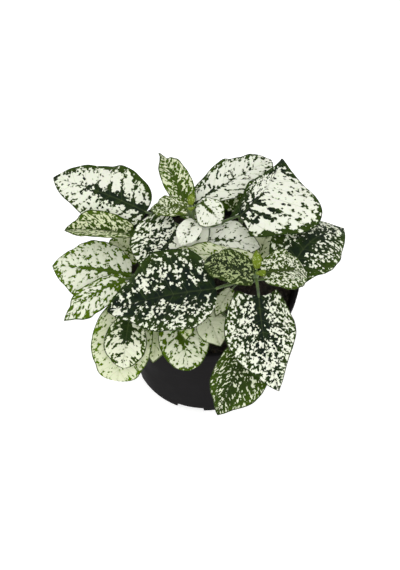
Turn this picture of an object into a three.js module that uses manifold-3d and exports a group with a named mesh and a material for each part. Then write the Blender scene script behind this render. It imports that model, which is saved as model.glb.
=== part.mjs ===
import * as THREE from "three";
import { mergeVertices } from "three/addons/utils/BufferGeometryUtils.js";
import Module from "manifold-3d";

// A potted polka dot plant. Millimetres, Z up, origin at the centre of the pot's flat underside.

// Pot: a tapered round nursery pot of 105 mm across the rim
const POT_HEIGHT = 88;
const RIM_RADIUS = 52.5;
const UNDER_RIM_RADIUS = 50.3;
const RIM_BAND = 7;
const BASE_RADIUS = 43;
const WALL = 1.5;
const EDGE = 1;
const FLOOR_THICKNESS = 2;
const POT_SIDES = 48;

// Drainage slots, where the wall meets the floor
const SLOT_COUNT = 6;
const SLOT_WIDTH = 16;
const SLOT_HEIGHT = 4.5;
const SLOT_DEPTH = 7;
const SLOT_FIRST_ANGLE = 258.5;
const SLOT_OUTSIDE = 3;

// Potting soil, with a plain hole for each stem. Its surface is a slow swell with lumps on it: radians of
// a wave in each millimetre along x and y, and where the wave starts
const SOIL_LEVEL = 76;
const SOIL_EDGE_LEVEL = 75;
const SOIL_LUMP = 1.1;
const LUMP_SHARE = 0.5;
const SWELL_X = { pace: 0.21, start: 1.3 };
const SWELL_Y = { pace: 0.17, start: -0.6 };
const LUMPS_ACROSS = { x: 0.63, y: -0.4 };
const LUMPS_ALONG = { x: 0.37, y: 0.51, start: 2 };
const SOIL_GAP = 0.35;
const SOIL_RINGS = 7;
const HOLE_BOTTOM = 52;
const HOLE_TOP = 84;
const HOLE_RADIUS = 2.1;
const HOLE_SIDES = 10;

// Stems, straight in the soil and bent above it, and petioles, which run on under the blade
const STEM_RADIUS = 1.7;
const STEM_SIDES = 8;
const STEM_BOTTOM = 53;
const STEM_BEND_START = 79;
const STEM_STEP = 6;
const PETIOLE_RADIUS = 0.85;
const PETIOLE_SIDES = 5;
const PETIOLE_STEPS = 5;
const PETIOLE_DROP = 0.5;
const PETIOLE_MEETS_BLADE = 0.02;
const PETIOLE_RUN = 0.22;

// Leaf blades
const BLADE_THICKNESS = 0.7;
const WIDE_LEAF = 26;
const WIDE_ROWS = 10;
const WIDE_COLUMNS = 6;
const NARROW_ROWS = 8;
const NARROW_COLUMNS = 4;

// Stems: place in the soil, then the shoot tip. Each stands upright in its hole, leans out and turns up
const STEMS = {
  back: { foot: [-3, 8], top: [-8, 10, 136] },
  right: { foot: [12, -7], top: [26, -31, 138] },
  left: { foot: [-15, -5], top: [-29, -11, 106] },
  front: { foot: [2, -20], top: [6, -30, 108] },
  far: { foot: [14, 17], top: [20, 24, 104] },
};

// Leaves, as they grow: node is its height on the stem, away, reach and rise are the petiole's
// compass angle, run and climb, then heading, slope, length and width of the blade. Angles in degrees.
const LEAVES = [
  { leaf: "shootLeft", stem: "back", node: 133, away: 180, reach: 1, rise: 1,
    heading: 167, slope: -18, length: 22, width: 14 },
  { leaf: "shootCup", stem: "back", node: 133, away: 40, reach: 7, rise: 1,
    heading: -42, slope: -18, length: 16, width: 18, fold: 5, foldLeft: 50, right: 1.15, left: 0.9,
    belly: 0.42, tail: 1.2 },
  { leaf: "rearUpright", stem: "back", node: 122, away: 110, reach: 8, rise: 6,
    heading: 112, slope: -8, length: 42, width: 17, tail: 2, belly: 0.27, left: 0.9 },
  { leaf: "centreLeft", stem: "back", node: 122, away: 217, reach: 8, rise: 2,
    heading: 237, slope: -20, length: 33, width: 41, lobe: 0.42, belly: 0.3, foldLeft: 0 },
  { leaf: "rearRight", stem: "back", node: 116, away: 92, reach: 11, rise: 7,
    heading: 40, slope: -9, length: 58, width: 31, arch: 0.04, fold: 10, foldLeft: 5, right: 0.75,
    left: 0.9, tail: 0.2, belly: 0.45 },
  { leaf: "rearLeft", stem: "back", node: 112, away: 157, reach: 28, rise: 5,
    heading: 152, slope: -7, length: 60, width: 40, arch: 0.05, foldLeft: -18, left: 0.8, belly: 0.38,
    blunt: 0.5, tail: 0.4, lobe: 0, lead: 0, phase: 0.4 },
  { leaf: "rightWhite", stem: "back", node: 110, away: 2, reach: 24, rise: 18,
    heading: 57, slope: 3, length: 43, width: 44, right: 1.6, left: 0.45, belly: 0.44, blunt: 0.6,
    sweep: 0.08, arch: 0.06, fold: 8, foldLeft: 0, lead: 0, lobe: 0.15, tail: 2 },
  { leaf: "centrePale", stem: "back", node: 110, away: -62, reach: 8, rise: 6,
    heading: -6, slope: -3, length: 32, width: 25, belly: 0.33, lobe: 0.15, blunt: 0.5 },
  { leaf: "centreRound", stem: "back", node: 126, away: 300, reach: 5, rise: 3,
    heading: 240, slope: -6, length: 16, width: 14, fold: 25, right: 0.9, left: 1.1, blunt: 0.5 },
  { leaf: "tipBack", stem: "back", node: 134, away: 70, reach: 1, rise: 3,
    heading: 80, slope: 50, length: 7, width: 4 },
  { leaf: "tipBackNear", stem: "back", node: 134, away: 280, reach: 1, rise: 3,
    heading: 280, slope: 40, length: 6, width: 4 },
  { leaf: "shootRight", stem: "right", node: 135, away: 0, reach: 3, rise: 1,
    heading: 15, slope: -20, length: 25, width: 25, tail: 0.2 },
  { leaf: "shootNear", stem: "right", node: 135, away: 250, reach: 3, rise: 1,
    heading: 155, slope: -5, length: 28, width: 20, tail: 0.2 },
  { leaf: "tipRight", stem: "right", node: 136, away: 90, reach: 1, rise: 4,
    heading: 95, slope: 50, length: 10, width: 5 },
  { leaf: "tipRightNear", stem: "right", node: 136, away: 300, reach: 1, rise: 4,
    heading: 300, slope: 30, length: 7, width: 5 },
  { leaf: "frontRight", stem: "right", node: 132, away: 278, reach: 10, rise: -2,
    heading: 283, slope: -26, length: 49, width: 40, left: 0.85, sweep: 0.05, arch: 0.08,
    belly: 0.36, blunt: 0.55, tail: 0.9, lobe: 0.12, lead: 0 },
  { leaf: "centreDark", stem: "right", node: 126, away: 203, reach: 21, rise: 5,
    heading: 187, slope: -11, length: 57, width: 50, arch: 0.06, foldLeft: 18, right: 1.1,
    belly: 0.36, blunt: 0.6, tail: 0.6, lobe: 0, lead: 0 },
  { leaf: "rightDark", stem: "right", node: 126, away: 5, reach: 17, rise: -4,
    heading: 50, slope: -11, length: 53, width: 40, right: 0.92, sweep: -0.09, fold: -5,
    belly: 0.5, blunt: 0.5, tail: 0.5, lead: 0 },
  { leaf: "centreGreen", stem: "right", node: 118, away: 50, reach: 11, rise: 5,
    heading: 172, slope: 3, length: 46, width: 14, tail: 0.5, arch: 0.02 },
  { leaf: "centreSliver", stem: "right", node: 110, away: 236, reach: 11, rise: 8,
    heading: 240, slope: -13, length: 17, width: 9 },
  { leaf: "innerGrey", stem: "right", node: 98, away: 37, reach: 15, rise: 5,
    heading: 70, slope: -6, length: 29, width: 14 },
  { leaf: "cornerUpper", stem: "left", node: 100, away: 248, reach: 33, rise: 8,
    heading: 262, slope: -27, length: 26, width: 23, tail: 0.2 },
  { leaf: "leftPale", stem: "left", node: 98, away: 182, reach: 14, rise: 3,
    heading: 172, slope: 0, length: 43, width: 36, arch: 0.05, foldLeft: -8, wave: 0.01,
    belly: 0.4, blunt: 0.55, tail: 0.5, lobe: 0.02, lead: 0.05 },
  { leaf: "leftFolded", stem: "left", node: 96, away: 129, reach: 23, rise: 17,
    heading: 172, slope: -7, length: 38, width: 22, roll: 18, foldLeft: 55 },
  { leaf: "cornerLow", stem: "left", node: 94, away: 227, reach: 25, rise: 6,
    heading: 261, slope: -21, length: 42, width: 33, tail: -0.3 },
  { leaf: "leftLow", stem: "left", node: 92, away: 200, reach: 23, rise: 15,
    heading: 212, slope: -16, length: 39, width: 21, fold: 5, right: 0.75 },
  { leaf: "leftInner", stem: "left", node: 88, away: 150, reach: 20, rise: 7,
    heading: 140, slope: -4, length: 22, width: 20 },
  { leaf: "frontBud", stem: "front", node: 106, away: 215, reach: 19, rise: 6,
    heading: 268, slope: -16, length: 14, width: 9 },
  { leaf: "frontMiddle", stem: "front", node: 104, away: 236, reach: 11, rise: 7,
    heading: 295, slope: -16, length: 20, width: 18 },
  { leaf: "frontDroop", stem: "front", node: 100, away: 306, reach: 33, rise: 6,
    heading: 240, slope: -26, length: 41, width: 34, fold: 40, foldLeft: 5, right: 0.8, belly: 0.33 },
  { leaf: "frontPale", stem: "front", node: 98, away: 204, reach: 21, rise: 6,
    heading: 281, slope: -14, length: 31, width: 27, tail: 0 },
  { leaf: "frontLeftSmall", stem: "front", node: 92, away: 198, reach: 28, rise: 5,
    heading: 259, slope: -17, length: 26, width: 17 },
  { leaf: "rearLowMid", stem: "far", node: 96, away: 80, reach: 7, rise: 4,
    heading: 78, slope: -8, length: 30, width: 20 },
  { leaf: "rearLowRight", stem: "far", node: 90, away: 10, reach: 12, rise: 5,
    heading: 18, slope: -2, length: 30, width: 22 },
  { leaf: "rearLowLeft", stem: "far", node: 87, away: 140, reach: 12, rise: 6,
    heading: 140, slope: -6, length: 28, width: 19 },
  { leaf: "rearTop", stem: "far", node: 101, away: 120, reach: 7, rise: 4,
    heading: 108, slope: -5, length: 24, width: 17 },
];

// Shape of a leaf wherever its own line above says nothing else
const USUAL = {
  roll: 0, arch: 0.12, sweep: 0, fold: 12, wave: 0.03, phase: 0, curl: 0.15,
  belly: 0.39, blunt: 0.62, tail: 1, lobe: 0.07, lead: 0.13, right: 1, left: 1, bow: 1.5,
};

// Shape that all leaves share: how the tip narrows, how the base lobes rise and end along the blade, the
// waves of a margin, and the steps by which the blade's slope is measured
const TIP_TAPER = 0.75;
const LOBE_REACH = 0.12;
const LOBE_RISE = 25;
const WAVES = 2.3;
const LEFT_WAVE_SHIFT = 2;
const SLOPE_STEP_ALONG = 0.02;
const SLOPE_STEP_ACROSS = 0.05;

// Colours and roughness of the plain view
const STEM_COLOURS = { back: 0x86a26c, right: 0x5d7d55, left: 0xa6b878, front: 0x8ea65c, far: 0x6f8c50 };
const POT_COLOUR = 0x2a2a2c;
const SOIL_COLOUR = 0x241b15;
const POT_ROUGHNESS = 0.5;
const SOIL_ROUGHNESS = 0.95;
const LEAF_ROUGHNESS = 0.55;

// Points nearer than this are one point
const MERGE_DISTANCE = 1e-4;

const wasm = await Module();
wasm.setup();

const vec = (p) => new THREE.Vector3(p[0], p[1], p[2]);
const rad = THREE.MathUtils.degToRad;

function toSolid(geometry) {
  const bare = new THREE.BufferGeometry();
  bare.setAttribute("position", geometry.getAttribute("position").clone());
  if (geometry.index) {
    bare.setIndex(geometry.index.clone());
  }
  const merged = mergeVertices(bare, MERGE_DISTANCE);
  const vertProperties = new Float32Array(merged.getAttribute("position").array);
  const triVerts = new Uint32Array(merged.index.array);
  return new wasm.Manifold(new wasm.Mesh({ numProp: 3, vertProperties, triVerts }));
}

function toGeometry(solid) {
  const mesh = solid.getMesh();
  const geometry = new THREE.BufferGeometry();
  geometry.setAttribute("position", new THREE.BufferAttribute(mesh.vertProperties, 3));
  geometry.setIndex(new THREE.BufferAttribute(mesh.triVerts, 1));
  geometry.computeVertexNormals();
  return geometry;
}

// Half width of a leaf as a share of the greatest, from base to tip. The belly is the widest place,
// a low blunt gives a round base and a low tail a round tip
function outline(leaf, s) {
  const bend = Math.log(0.5) / Math.log(leaf.belly);
  return Math.sin(Math.PI * s ** bend) ** (leaf.blunt + TIP_TAPER * s * leaf.tail);
}

// Centre of a stem at a height above the floor
function stemPoint(name, height) {
  const { foot, top } = STEMS[name];
  const share = THREE.MathUtils.smoothstep(height, STEM_BEND_START, top[2]);
  return new THREE.Vector3(
    foot[0] + (top[0] - foot[0]) * share,
    foot[1] + (top[1] - foot[1]) * share,
    height,
  );
}

// Base and tip of a blade, its midrib's bend and the direction of its right half
function bladeFrame(leaf) {
  const away = rad(leaf.away);
  const base = stemPoint(leaf.stem, leaf.node);
  base.add(vec([leaf.reach * Math.cos(away), leaf.reach * Math.sin(away), leaf.rise]));
  const { length } = leaf;
  const heading = rad(leaf.heading);
  const slope = rad(leaf.slope);
  const way = [Math.cos(heading) * Math.cos(slope), Math.sin(heading) * Math.cos(slope), Math.sin(slope)];
  const tip = base.clone().addScaledVector(vec(way), length);
  const chord = tip.clone().sub(base).divideScalar(length);
  const level = new THREE.Vector3().crossVectors(chord, new THREE.Vector3(0, 0, 1)).normalize();
  const above = new THREE.Vector3().crossVectors(level, chord);
  const roll = rad(leaf.roll);
  const side = level.clone().multiplyScalar(Math.cos(roll)).addScaledVector(above, Math.sin(roll));
  const up = new THREE.Vector3().crossVectors(side, chord);
  const control = base.clone().add(tip).multiplyScalar(0.5);
  control.addScaledVector(up, 2 * length * leaf.arch);
  control.addScaledVector(side, 2 * length * leaf.sweep);
  return { base, tip, control, side, length };
}

// Point and directions of the midrib at a share s of its length
function midrib(frame, s) {
  const point = frame.base.clone().multiplyScalar((1 - s) ** 2);
  point.addScaledVector(frame.control, 2 * s * (1 - s));
  point.addScaledVector(frame.tip, s ** 2);
  const along = frame.control.clone().sub(frame.base).multiplyScalar(2 * (1 - s));
  along.addScaledVector(frame.tip.clone().sub(frame.control), 2 * s).normalize();
  const across = frame.side.clone().addScaledVector(along, -along.dot(frame.side)).normalize();
  const normal = new THREE.Vector3().crossVectors(across, along);
  return { point, along, across, normal };
}

// Point of the blade's middle surface: s runs from base to tip, u from the left margin to the right
function bladePoint(leaf, frame, s, u) {
  const at = midrib(frame, s);
  const a = Math.abs(u);
  const right = u > 0;
  const half = (leaf.width / 2) * (right ? leaf.right : leaf.left) * outline(leaf, s);
  const fold = rad(right ? leaf.fold : leaf.foldLeft);
  const turn = 2 * Math.PI * (WAVES * s + leaf.phase) + (right ? 0 : LEFT_WAVE_SHIFT);
  const body = Math.sin(Math.PI * s);
  const wave = leaf.wave * frame.length * Math.sin(turn) * a * a * body;
  const lobe = leaf.lobe * Math.exp(-((s / LOBE_REACH) ** 2)) * Math.min(1, LOBE_RISE * s);
  const forward = frame.length * a ** 1.5 * (leaf.lead * body - lobe);
  const lift = half * (a * Math.sin(fold) - leaf.curl * a * a) + wave;
  return at.point
    .addScaledVector(at.along, forward)
    .addScaledVector(at.across, half * u * Math.cos(fold))
    .addScaledVector(at.normal, lift);
}

// Closed blade of even thickness: a grid of points above and below the middle surface
function blade(leaf) {
  const frame = bladeFrame(leaf);
  const wide = leaf.width > WIDE_LEAF;
  const columns = wide ? WIDE_COLUMNS : NARROW_COLUMNS;
  const rows = wide ? WIDE_ROWS : NARROW_ROWS;
  const positions = [];
  const faces = [];
  const addPair = (point, normal) => {
    const offset = normal.clone().multiplyScalar(BLADE_THICKNESS / 2);
    const top = point.clone().add(offset);
    const under = point.clone().sub(offset);
    positions.push(top.x, top.y, top.z, under.x, under.y, under.z);
    return positions.length / 3 - 2;
  };
  const baseIndex = addPair(bladePoint(leaf, frame, 0, 0), midrib(frame, 0).normal);
  const grid = [];
  for (let i = 1; i < rows; i++) {
    const s = (1 - Math.cos((Math.PI * i) / rows)) / 2;
    const row = [];
    for (let j = 0; j <= columns; j++) {
      const u = (2 * j) / columns - 1;
      const point = bladePoint(leaf, frame, s, u);
      const along = bladePoint(leaf, frame, s + SLOPE_STEP_ALONG, u);
      along.sub(bladePoint(leaf, frame, s - SLOPE_STEP_ALONG, u));
      const across = bladePoint(leaf, frame, s, Math.min(1, u + SLOPE_STEP_ACROSS));
      across.sub(bladePoint(leaf, frame, s, Math.max(-1, u - SLOPE_STEP_ACROSS)));
      row.push(addPair(point, new THREE.Vector3().crossVectors(across, along).normalize()));
    }
    grid.push(row);
  }
  const tipIndex = addPair(bladePoint(leaf, frame, 1, 0), midrib(frame, 1).normal);
  const both = (a, b, c) => {
    faces.push(a, b, c, a + 1, c + 1, b + 1);
  };
  const edge = (a, b) => {
    faces.push(a, a + 1, b + 1, a, b + 1, b);
  };
  const first = grid[0];
  const last = grid[grid.length - 1];
  for (let j = 0; j < columns; j++) {
    both(baseIndex, first[j + 1], first[j]);
    both(tipIndex, last[j], last[j + 1]);
    for (let i = 0; i + 1 < grid.length; i++) {
      const [a, b, c, d] = [grid[i][j], grid[i][j + 1], grid[i + 1][j + 1], grid[i + 1][j]];
      if (j < columns / 2) {
        both(a, b, d);
        both(b, c, d);
      } else {
        both(a, b, c);
        both(a, c, d);
      }
    }
  }
  for (const [j, forward] of [[0, false], [columns, true]]) {
    const loop = [baseIndex, ...grid.map((row) => row[j]), tipIndex];
    for (let k = 0; k + 1 < loop.length; k++) {
      if (forward) {
        edge(loop[k], loop[k + 1]);
      } else {
        edge(loop[k + 1], loop[k]);
      }
    }
  }
  const geometry = new THREE.BufferGeometry();
  geometry.setAttribute("position", new THREE.BufferAttribute(new Float32Array(positions), 3));
  geometry.setIndex(faces);
  return toSolid(geometry);
}

// Round rod through the points
function rod(points, radius, sides, steps) {
  const section = new THREE.Shape();
  for (let i = 0; i < sides; i++) {
    const angle = (2 * Math.PI * i) / sides;
    if (i === 0) {
      section.moveTo(radius, 0);
    } else {
      section.lineTo(radius * Math.cos(angle), radius * Math.sin(angle));
    }
  }
  section.closePath();
  const path = new THREE.CatmullRomCurve3(points, false, "centripetal");
  return toSolid(new THREE.ExtrudeGeometry(section, { steps, extrudePath: path }));
}

// Petiole from the node on the stem, under the base of the blade and along its midrib
function petiole(leaf) {
  const root = stemPoint(leaf.stem, leaf.node);
  const frame = bladeFrame(leaf);
  const start = midrib(frame, PETIOLE_MEETS_BLADE);
  const end = midrib(frame, PETIOLE_RUN);
  start.point.addScaledVector(start.normal, -PETIOLE_DROP);
  end.point.addScaledVector(end.normal, -PETIOLE_DROP);
  const middle = root.clone().lerp(start.point, 0.5);
  middle.z += leaf.bow;
  const points = [root, middle, start.point, end.point];
  return rod(points, PETIOLE_RADIUS, PETIOLE_SIDES, PETIOLE_STEPS);
}

function stem(name) {
  const points = [];
  const top = STEMS[name].top[2];
  for (let height = STEM_BOTTOM; height < top - STEM_STEP / 2; height += STEM_STEP) {
    points.push(stemPoint(name, height));
  }
  points.push(stemPoint(name, top));
  return rod(points, STEM_RADIUS, STEM_SIDES, points.length);
}

// One stem with all its leaves. Small sealed hollows where they meet are filled
function leafyStem(name) {
  let solid = stem(name);
  for (const line of LEAVES.filter((item) => item.stem === name)) {
    const leaf = { ...USUAL, foldLeft: line.fold ?? USUAL.fold, ...line };
    solid = solid.add(petiole(leaf)).add(blade(leaf));
  }
  return wasm.Manifold.compose(solid.decompose().filter((shell) => shell.volume() > 0));
}

function lathe(profile, sides) {
  return toSolid(new THREE.LatheGeometry(profile.map((p) => new THREE.Vector2(p[0], p[1])), sides));
}

// The lathe turns about Y, so the solid is turned upright
function upright(solid) {
  return solid.rotate([90, 0, 0]);
}

function pot() {
  const bandBottom = POT_HEIGHT - RIM_BAND;
  const profile = [
    [0, 0],
    [BASE_RADIUS - EDGE, 0],
    [BASE_RADIUS, EDGE],
    [UNDER_RIM_RADIUS, bandBottom - EDGE],
    [RIM_RADIUS - EDGE / 2, bandBottom],
    [RIM_RADIUS, POT_HEIGHT - EDGE],
    [RIM_RADIUS - EDGE / 2, POT_HEIGHT],
    [RIM_RADIUS - EDGE / 2 - WALL, POT_HEIGHT],
    [UNDER_RIM_RADIUS - WALL, bandBottom - 2 * EDGE],
    [BASE_RADIUS - WALL, FLOOR_THICKNESS],
    [0, FLOOR_THICKNESS],
  ];
  let body = upright(lathe(profile, POT_SIDES));
  for (let i = 0; i < SLOT_COUNT; i++) {
    const angle = rad(SLOT_FIRST_ANGLE + (360 * i) / SLOT_COUNT);
    const depth = SLOT_DEPTH + SLOT_OUTSIDE;
    const box = new THREE.BoxGeometry(depth, SLOT_WIDTH, SLOT_HEIGHT * 2);
    box.translate(BASE_RADIUS + SLOT_OUTSIDE - depth / 2, 0, 0);
    box.rotateZ(angle);
    body = body.subtract(toSolid(box));
  }
  return body;
}

// Uneven surface of the soil at a distance r from the axis and an angle about it
function soilHeight(r, angle) {
  const x = r * Math.cos(angle);
  const y = r * Math.sin(angle);
  const swell = Math.sin(SWELL_X.pace * x + SWELL_X.start) * Math.cos(SWELL_Y.pace * y + SWELL_Y.start);
  const across = Math.sin(LUMPS_ACROSS.x * x + LUMPS_ACROSS.y * y);
  const along = Math.cos(LUMPS_ALONG.y * y + LUMPS_ALONG.x * x + LUMPS_ALONG.start);
  return SOIL_LEVEL + SOIL_LUMP * (swell + LUMP_SHARE * (across + along));
}

// The soil fills the pot up to its level, a small gap off the wall and the floor
function soil() {
  const slope = (UNDER_RIM_RADIUS - BASE_RADIUS) / (POT_HEIGHT - RIM_BAND - 2 * EDGE - FLOOR_THICKNESS);
  const wallAt = (z) => BASE_RADIUS - WALL + slope * (z - FLOOR_THICKNESS) - SOIL_GAP;
  const bottom = FLOOR_THICKNESS + SOIL_GAP;
  const sides = POT_SIDES;
  const positions = [0, 0, soilHeight(0, 0), 0, 0, bottom];
  const faces = [];
  for (let ring = 1; ring <= SOIL_RINGS; ring++) {
    for (let k = 0; k < sides; k++) {
      const angle = (2 * Math.PI * k) / sides;
      const radius = (wallAt(SOIL_EDGE_LEVEL) * ring) / SOIL_RINGS;
      const z = ring === SOIL_RINGS ? SOIL_EDGE_LEVEL : soilHeight(radius, angle);
      positions.push(radius * Math.cos(angle), radius * Math.sin(angle), z);
    }
  }
  const lower = positions.length / 3;
  for (let k = 0; k < sides; k++) {
    const angle = (2 * Math.PI * k) / sides;
    const radius = wallAt(bottom);
    positions.push(radius * Math.cos(angle), radius * Math.sin(angle), bottom);
  }
  const ringStart = (ring) => 2 + (ring - 1) * sides;
  for (let k = 0; k < sides; k++) {
    const next = (k + 1) % sides;
    faces.push(0, ringStart(1) + k, ringStart(1) + next);
    for (let ring = 1; ring < SOIL_RINGS; ring++) {
      const [a, b] = [ringStart(ring) + k, ringStart(ring) + next];
      const [c, d] = [ringStart(ring + 1) + next, ringStart(ring + 1) + k];
      faces.push(a, d, c, a, c, b);
    }
    const [a, b] = [ringStart(SOIL_RINGS) + k, ringStart(SOIL_RINGS) + next];
    faces.push(a, lower + k, lower + next, a, lower + next, b);
    faces.push(1, lower + next, lower + k);
  }
  const geometry = new THREE.BufferGeometry();
  geometry.setAttribute("position", new THREE.BufferAttribute(new Float32Array(positions), 3));
  geometry.setIndex(faces);
  let solid = toSolid(geometry);
  for (const { foot } of Object.values(STEMS)) {
    const [x, y] = foot;
    const depth = HOLE_TOP - HOLE_BOTTOM;
    const bore = new THREE.CylinderGeometry(HOLE_RADIUS, HOLE_RADIUS, depth, HOLE_SIDES);
    bore.rotateX(Math.PI / 2);
    bore.translate(x, y, HOLE_BOTTOM + depth / 2);
    solid = solid.subtract(toSolid(bore));
  }
  return solid;
}

function part(name, solid, colour, roughness) {
  const material = new THREE.MeshStandardMaterial({ color: colour, roughness, metalness: 0 });
  const mesh = new THREE.Mesh(toGeometry(solid), material);
  mesh.name = name;
  return mesh;
}

const group = new THREE.Group();
group.add(part("pot", pot(), POT_COLOUR, POT_ROUGHNESS));
group.add(part("soil", soil(), SOIL_COLOUR, SOIL_ROUGHNESS));
for (const name of Object.keys(STEMS)) {
  group.add(part(`leafy_stem_${name}`, leafyStem(name), STEM_COLOURS[name], LEAF_ROUGHNESS));
}

export default group;
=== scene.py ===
import math

import bpy
import numpy as np
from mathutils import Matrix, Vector


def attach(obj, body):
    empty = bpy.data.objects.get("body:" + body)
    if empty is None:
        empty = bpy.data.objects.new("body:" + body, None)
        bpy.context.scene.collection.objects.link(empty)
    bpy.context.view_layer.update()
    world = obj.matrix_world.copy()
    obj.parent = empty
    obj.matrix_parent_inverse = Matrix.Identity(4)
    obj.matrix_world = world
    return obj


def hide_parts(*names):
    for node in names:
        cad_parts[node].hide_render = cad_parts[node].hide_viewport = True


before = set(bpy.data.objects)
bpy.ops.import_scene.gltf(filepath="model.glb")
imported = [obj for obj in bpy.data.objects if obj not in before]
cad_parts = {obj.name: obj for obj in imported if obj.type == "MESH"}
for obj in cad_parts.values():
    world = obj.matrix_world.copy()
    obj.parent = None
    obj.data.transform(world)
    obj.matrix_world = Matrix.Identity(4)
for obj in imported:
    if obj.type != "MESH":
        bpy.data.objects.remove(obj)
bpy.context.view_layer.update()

# A potted polka dot plant. The growth schedule is in millimetres, as in the model's own source
MM = 0.001

# Camera: above the front, 700 mm from a point in the crown. Other distances fit about as well
CAMERA_AIM = (-2.8, 0.0, 73.9)
CAMERA_DISTANCE = 700.0
CAMERA_ELEVATION = 59.0
CAMERA_LENS = 78.77
CAMERA_SENSOR = 36.0

# Studio, in metres
CAMERA_CLIP = (0.01, 50)
FLOOR_HALF = 6.0
FLOOR_GREYS = (0.74, 0.76)
LIGHT_AIM = (0, 0, 0.09)
SKY_STRENGTH = 0.94

# Pot
POT_HEIGHT = 88.0
RIM_RADIUS = 52.5
UNDER_RIM_RADIUS = 50.3
RIM_BAND = 7.0
BASE_RADIUS = 43.0
WALL = 1.5
FLOOR_THICKNESS = 2.0
POT_SEGMENTS = 144
SHARP_ANGLE = 35

# Its profile: the roundings, how far the band's underside and the wall's ends lie below the band's line,
# the band's taper, the lip's width and how the wall opens inside the band
FOOT_ROUNDING = 1.0
FOOT_FLAT = 6.0
HOLLOW_ROUNDING = 0.7
EDGE_ROUNDING = 0.6
LIP_ROUNDING = 0.9
LIP_WIDTH = 2.0
BAND_SILL = 0.9
BAND_TAPER = 0.5
WALL_FULL = 2.0
WALL_END = 2.5
INNER_LIP = 3.0
INNER_FLARE = 0.14
OUTER_HEIGHTS = (6, 14, 26, 40, 54, 68)
INNER_HEIGHTS = (60, 40, 20, 6)

# Drainage slots
SLOT_COUNT = 6
SLOT_WIDTH = 16.0
SLOT_HEIGHT = 4.5
SLOT_DEPTH = 7.0
SLOT_OUTSIDE = 3.0
SLOT_BELOW = 2.0
SLOT_CORNER = 1.4
SLOT_FIRST_ANGLE = 258.5

# Soil: a slow swell with lumps and fine lumps on it. The waves are in radians for each millimetre
SOIL_LEVEL = 76.0
SOIL_EDGE_LEVEL = 75.0
SOIL_SINK = 0.6
SOIL_GAP = 0.35
SOIL_LUMP = 1.1
LUMP_SHARE = 0.5
SWELL_X = dict(pace=0.21, start=1.3)
SWELL_Y = dict(pace=0.17, start=-0.6)
LUMPS_ACROSS = dict(x=0.63, y=-0.4)
LUMPS_ALONG = dict(x=0.37, y=0.51, start=2)
FINE_LUMP = 0.35
FINE_ACROSS = dict(x=1.9, y=0.7)
FINE_ALONG = dict(x=-1.1, y=1.6)
GRIT = 0.2
GRIT_PACE = dict(x=3.1, y=2.7)
SOIL_RINGS = 60
SOIL_SEGMENTS = 150
SOIL_SEED = 7

# Crumbs on the soil: how far out they lie, their sizes, how high they sit and their uneven form
CRUMB_COUNT = 900
CRUMB_REACH = 0.96
CRUMB_SMALLEST = 0.5
CRUMB_SPREAD = 1.4
CRUMB_LIFT = 0.3
CRUMB_SIDES = 6
CRUMB_STRETCH = (0.6, 1.4)
CRUMB_FLATNESS = 0.7
CRUMB_SHOULDER = 0.45
CRUMB_GIRTH = 0.9
CRUMB_JITTER = (0.8, 1.15)
CLEAR_OF_STEM = 3.5

# Stems, which taper and swell at each node
STEM_RADIUS = 1.6
STEM_BEND_START = 79.0
STEM_BOTTOM = 70.0
STEM_STEP = 1.5
STEM_SIDES = 16
STEM_TAPER = 0.35
STEM_SEED = 11
NODE_LENGTH = 1.4
NODE_SWELL = 0.16
NODE_SWELL_LIMIT = 1.2

# Petioles, and the ridge that each makes under its blade as far as the midrib's end
PETIOLE_RADIUS = 0.8
PETIOLE_ENDS = (1.1, 0.9)
PETIOLE_SIDES = 10
PETIOLE_STEPS = 16
PETIOLE_DROP = 0.5
PETIOLE_MEETS_BLADE = 0.02
MIDRIB_END = 0.85
RIDGE_STEPS = 30
RIDGE_TAPER = 0.85
RIDGE_TAPER_POWER = 0.7
RIDGE_SINK = 0.75
RIDGE_GAP = 0.05

# Soft hairs on stems and petioles. Each is rooted under the skin and leans forward
HAIR_LENGTH = 0.7
HAIR_LENGTHS = (0.6, 1.1)
HAIR_RADIUS = 0.03
HAIR_ROOT = 0.8
HAIR_LEAN = 0.35
STEM_HAIRS_PER_MM = 5.0

# A way with more than this along x is crossed with y instead
NEARLY_ALONG_X = 0.8

# Blades. A leaf shorter than TINY_LEAF has a coarser mesh, and one shorter than FULL_LENGTH less relief
BLADE_THICKNESS = 0.36
MARGIN_THICKNESS = 0.16
THINNING = 4
TINY_LEAF = 15
FULL_LENGTH = 30
BLADE_ROWS = 84
HALF_COLUMNS = 18
TINY_ROWS = 24
TINY_HALF_COLUMNS = 6
SLOPE_STEP = 0.004

# Their relief: side veins, a groove along the midrib, the puffed cells and the margin's frill
VEIN_PAIRS = 7
VEIN_LEAD = 0.2
VEIN_BEND = 0.35
VEIN_CROWDING = 1.15
RELIEF_ENDS = 0.6
GROOVE = 0.35
GROOVE_WIDTH = 0.9
QUILT = 0.3
QUILT_ROUNDNESS = 0.7
QUILT_MIDDLE = 0.5
QUILT_RISE = 4
QUILT_FADE = 3
FRILL = 0.35
FRILL_RISE = 4
FRILLS = 6.5
LEFT_FRILL_SHIFT = 1.7

# Markings: widths in millimetres, places as shares of the blade, and how strongly each counts
MARGIN_BAND = 3.6
MARGIN_LINE = 0.5
MIDRIB_LINE = 0.35
MIDRIB_FADE = 0.7
VEIN_WIDTH = 0.18
RIB_FADE_START = 0.45
RIB_WEIGHT = 0.9
EDGE_WEIGHT = 0.9
END_ZONE = (0.7, 0.95)
LEAN_ZONE = (0.05, 0.3)
TONE_TO_MARGIN = 0.3
TONE_MIDDLE = 0.25
FRESH_FADE = 0.6

# Specks: how they lie, and the shift that gives each leaf and each half of it its own
VEIN_SLANT = 55.0
SPECK_STRETCH = 0.88
LEAF_SHIFT = 91.0
SIDE_SHIFT = 37.0

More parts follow.
